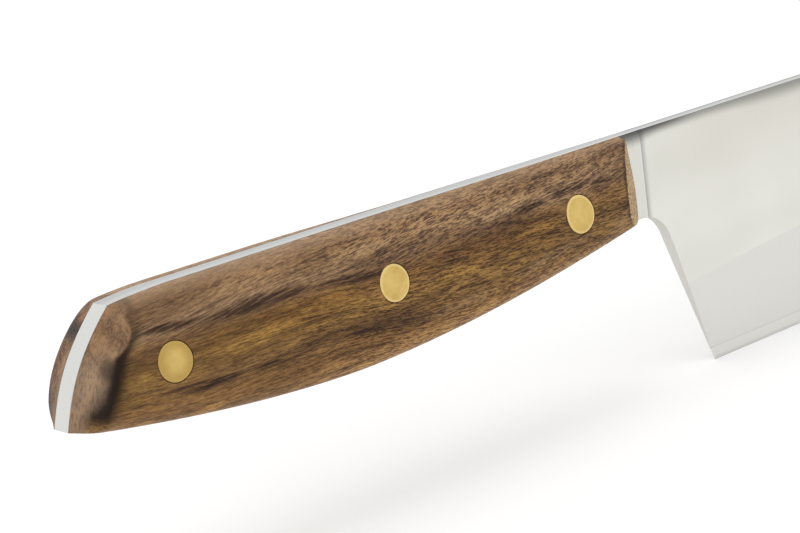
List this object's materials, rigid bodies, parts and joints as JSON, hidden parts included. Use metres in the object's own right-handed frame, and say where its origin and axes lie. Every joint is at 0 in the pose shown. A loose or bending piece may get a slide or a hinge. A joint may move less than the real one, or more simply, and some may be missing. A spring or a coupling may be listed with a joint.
{
  "type": "deba knife",
  "caption": "Full-tang deba kitchen knife with a deep blade, wide bevel and slanted heel, and rounded wooden handle scales held by flush brass rivets.",
  "frame": {"origin": "on the surface that the straight edge stands on, under the middle of the knife's length and in the plane of the blade", "axes": "+X from the butt of the handle to the point, +Y to the left side of the knife, +Z from the cutting edge up to the spine"},
  "size_m": [0.282, 0.0184, 0.047],
  "materials": {
    "steel": "fine satin grind, slightly warm, with a plainer bevel and honed edge",
    "wood": "oiled brown hardwood with dark streaks, golden patches and short open pores",
    "brass": "satin, ground flush with the wood"
  },
  "bodies": {
    "root": {"blade_and_tang": "steel", "left_scale": "wood", "right_scale": "wood", "rear_rivet_socket": "brass", "middle_rivet_socket": "brass", "front_rivet_socket": "brass", "rear_rivet_pin": "brass", "middle_rivet_pin": "brass", "front_rivet_pin": "brass"}
  },
  "joints": []
}
